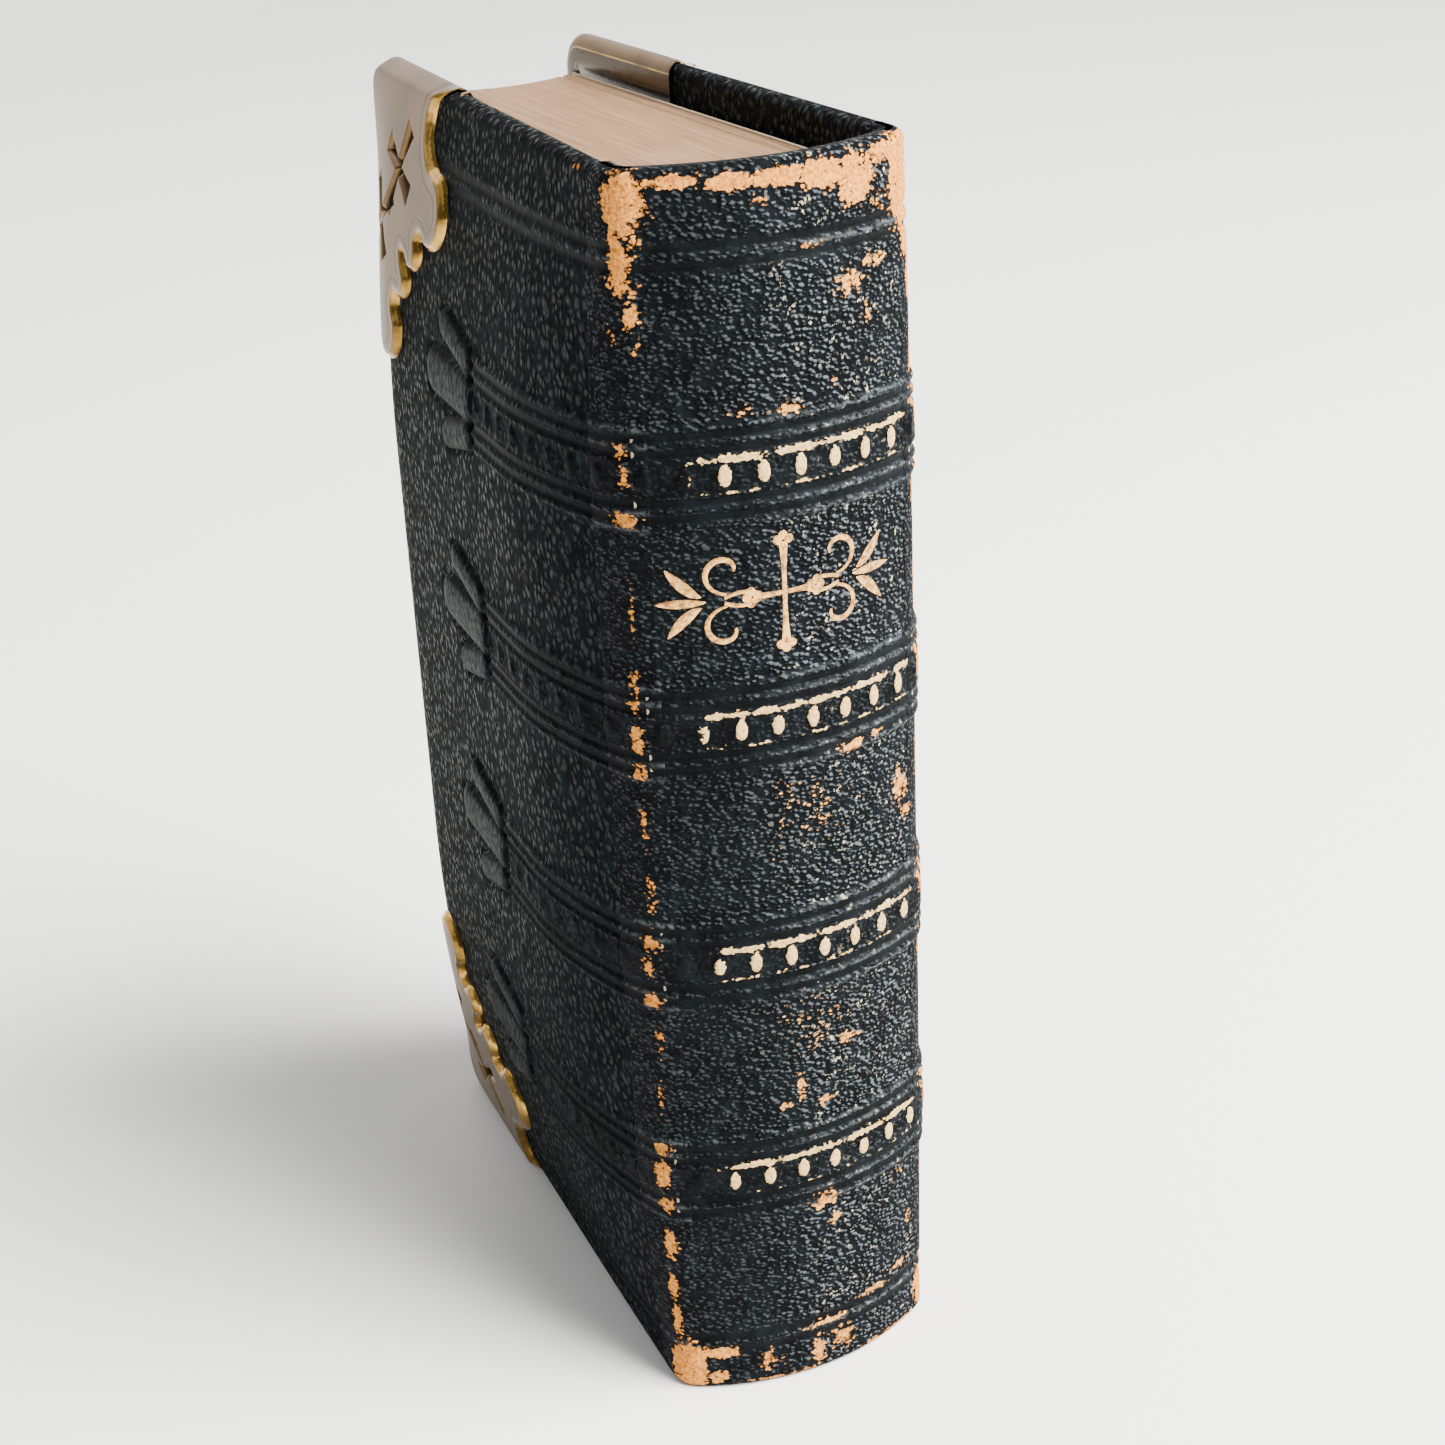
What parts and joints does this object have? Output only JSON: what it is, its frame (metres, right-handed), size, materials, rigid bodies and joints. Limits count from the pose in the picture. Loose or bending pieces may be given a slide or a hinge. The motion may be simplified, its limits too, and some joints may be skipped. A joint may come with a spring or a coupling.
{
  "type": "prayer book",
  "caption": "Small closed prayer book with padded dark leather covers, rounded banded spine and scalloped brass corners.",
  "frame": {"origin": "centre of the bounding box, on the surface the tail stands on", "axes": "+Z from tail to head, -Y out of the spine, +Y out of the fore-edge, +X out of the front cover"},
  "size_m": [0.0354, 0.0698, 0.12],
  "materials": {
    "morocco_leather": "pebbled blue-black morocco, polished, worn to tan at the edges",
    "brass_mount": "tarnished brass, satin face with bright bevels",
    "pasteboard": "matt grey-brown pasteboard",
    "cotton_wadding": "soft cotton wadding",
    "page_paper": "thin paper with browned, once gilt edges",
    "endpaper": "dark coated endpaper",
    "kraft_paper": "brown kraft paper",
    "mull_cloth": "open starched cotton",
    "endband_cloth": "woven cotton band",
    "linen_thread": "waxed linen"
  },
  "bodies": {
    "text_block": {"spine_leather": "morocco_leather", "text_section_1": "page_paper", "text_section_2": "page_paper", "text_section_3": "page_paper", "text_section_4": "page_paper", "text_section_5": "page_paper", "text_section_6": "page_paper", "text_section_7": "page_paper", "text_section_8": "page_paper", "text_section_9": "page_paper", "text_section_10": "page_paper", "sewing_cords": "linen_thread", "kettle_stitches": "linen_thread", "mull_lining": "mull_cloth", "paper_hollow": "kraft_paper", "head_endband": "endband_cloth", "tail_endband": "endband_cloth", "false_band_1": "pasteboard", "false_band_2": "pasteboard", "false_band_3": "pasteboard", "false_band_4": "pasteboard"},
    "front_cover": {"front_leather": "morocco_leather", "front_board": "pasteboard", "front_padding": "cotton_wadding", "front_infill_card": "pasteboard", "front_pastedown": "endpaper", "front_head_corner": "brass_mount", "front_tail_corner": "brass_mount"},
    "rear_cover": {"rear_leather": "morocco_leather", "rear_board": "pasteboard", "rear_padding": "cotton_wadding", "rear_infill_card": "pasteboard", "rear_pastedown": "endpaper", "rear_head_corner": "brass_mount", "rear_tail_corner": "brass_mount"},
    "front_section": {"front_section": "page_paper"},
    "rear_section": {"rear_section": "page_paper"},
    "front_flyleaf": {"front_flyleaf": "endpaper"},
    "rear_flyleaf": {"rear_flyleaf": "endpaper"}
  },
  "joints": [
    {"name": "front_cover_hinge", "type": "hinge", "parent": "text_block", "child": "front_cover", "pos_m": [0.014, -0.03009, 0.06], "axis": [0, 0, -1], "range_deg": [0, 165]},
    {"name": "front_section_turn", "type": "hinge", "parent": "text_block", "child": "front_section", "pos_m": [0.01049, -0.03069, 0.06], "axis": [0, 0, -1], "range_deg": [0, 33]},
    {"name": "front_flyleaf_turn", "type": "hinge", "parent": "front_section", "child": "front_flyleaf", "pos_m": [0.01101, -0.02816, 0.06], "axis": [0, 0, -1], "range_deg": [0, 49.5]},
    {"name": "rear_cover_hinge", "type": "hinge", "parent": "text_block", "child": "rear_cover", "pos_m": [-0.014, -0.03009, 0.06], "axis": [0, 0, 1], "range_deg": [0, 165]},
    {"name": "rear_section_turn", "type": "hinge", "parent": "text_block", "child": "rear_section", "pos_m": [-0.01049, -0.03069, 0.06], "axis": [0, 0, 1], "range_deg": [0, 33]},
    {"name": "rear_flyleaf_turn", "type": "hinge", "parent": "rear_section", "child": "rear_flyleaf", "pos_m": [-0.01094, -0.02827, 0.06], "axis": [0, 0, 1], "range_deg": [0, 49.5]}
  ],
  "couplings": [
    {"joint": "front_section_turn", "follows": "front_cover_hinge", "ratio": 0.2},
    {"joint": "front_flyleaf_turn", "follows": "front_cover_hinge", "ratio": 0.3},
    {"joint": "rear_section_turn", "follows": "rear_cover_hinge", "ratio": 0.2},
    {"joint": "rear_flyleaf_turn", "follows": "rear_cover_hinge", "ratio": 0.3}
  ]
}
